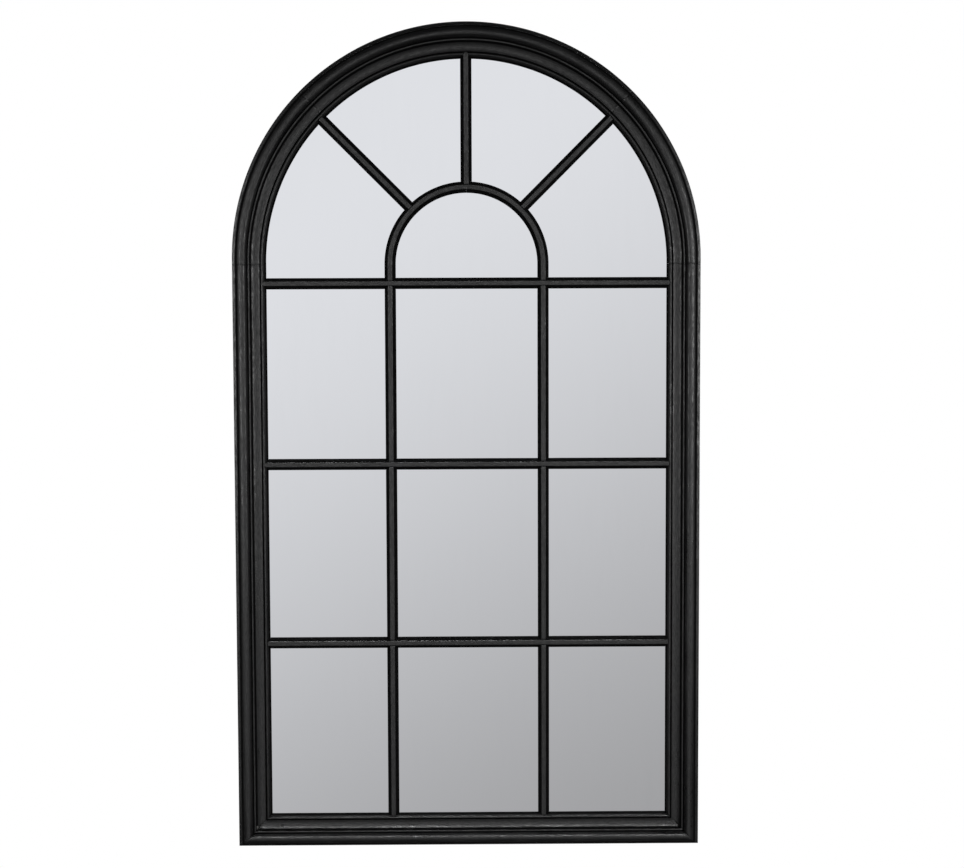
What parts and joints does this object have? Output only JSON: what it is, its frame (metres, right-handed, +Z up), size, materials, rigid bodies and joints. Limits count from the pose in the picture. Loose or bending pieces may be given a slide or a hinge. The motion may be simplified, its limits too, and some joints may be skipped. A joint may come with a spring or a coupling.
{
  "type": "arched window mirror",
  "caption": "Wall mirror shaped like an arched window, with a black wooden frame moulding, glazing bars over the glass, and D-ring hangers on the back.",
  "frame": {"origin": "middle of the bottom rail's back face, in the plane of the frame's back", "axes": "+X to the viewer's right, +Y into the wall, +Z up; the mirror faces -Y"},
  "size_m": [0.79, 0.044, 1.4],
  "materials": {
    "black_paint": "satin black paint over wood",
    "mirror_glass": "silvered float glass",
    "hardboard": "brown hardboard",
    "beech": "plain beech dowel",
    "zinc_steel": "zinc plated steel",
    "black_rubber": "matt rubber"
  },
  "bodies": {
    "mirror": {"left_stile": "black_paint", "arch_left_haunch": "black_paint", "arch_crown": "black_paint", "arch_right_haunch": "black_paint", "right_stile": "black_paint", "bottom_rail": "black_paint", "glazing_bar_bottom": "black_paint", "glazing_bar_middle": "black_paint", "glazing_bar_top": "black_paint", "left_bar_1": "black_paint", "right_bar_1": "black_paint", "left_bar_2": "black_paint", "right_bar_2": "black_paint", "left_bar_3": "black_paint", "right_bar_3": "black_paint", "inner_arch_left": "black_paint", "inner_arch_right": "black_paint", "radial_bar_left": "black_paint", "radial_bar_top": "black_paint", "radial_bar_right": "black_paint", "mirror_plate": "mirror_glass", "backing_board": "hardboard", "left_stile_dowel_outer": "beech", "left_stile_dowel_inner": "beech", "left_arch_dowel_outer": "beech", "left_arch_dowel_inner": "beech", "right_arch_dowel_outer": "beech", "right_arch_dowel_inner": "beech", "right_stile_dowel_outer": "beech", "right_stile_dowel_inner": "beech", "left_corner_v_nail_outer": "zinc_steel", "left_corner_v_nail_inner": "zinc_steel", "right_corner_v_nail_outer": "zinc_steel", "right_corner_v_nail_inner": "zinc_steel", "glazing_point_01": "zinc_steel", "glazing_point_02": "zinc_steel", "glazing_point_03": "zinc_steel", "glazing_point_04": "zinc_steel", "glazing_point_05": "zinc_steel", "glazing_point_06": "zinc_steel", "glazing_point_07": "zinc_steel", "glazing_point_08": "zinc_steel", "glazing_point_09": "zinc_steel", "glazing_point_10": "zinc_steel", "glazing_point_11": "zinc_steel", "glazing_point_12": "zinc_steel", "glazing_point_13": "zinc_steel", "hanger_strap_left": "zinc_steel", "hanger_strap_right": "zinc_steel", "hanger_screw_left_upper": "zinc_steel", "hanger_screw_left_lower": "zinc_steel", "hanger_screw_right_upper": "zinc_steel", "hanger_screw_right_lower": "zinc_steel", "bumper_left": "black_rubber", "bumper_right": "black_rubber"},
    "ring_left": {"hanger_ring_left": "zinc_steel"},
    "ring_right": {"hanger_ring_right": "zinc_steel"}
  },
  "joints": [
    {"name": "ring_left_swing", "type": "hinge", "parent": "mirror", "child": "ring_left", "pos_m": [-0.37, 0.003, 0.915], "axis": [1, 0, 0], "range_deg": [0, 176]},
    {"name": "ring_right_swing", "type": "hinge", "parent": "mirror", "child": "ring_right", "pos_m": [0.37, 0.003, 0.915], "axis": [1, 0, 0], "range_deg": [0, 176]}
  ]
}
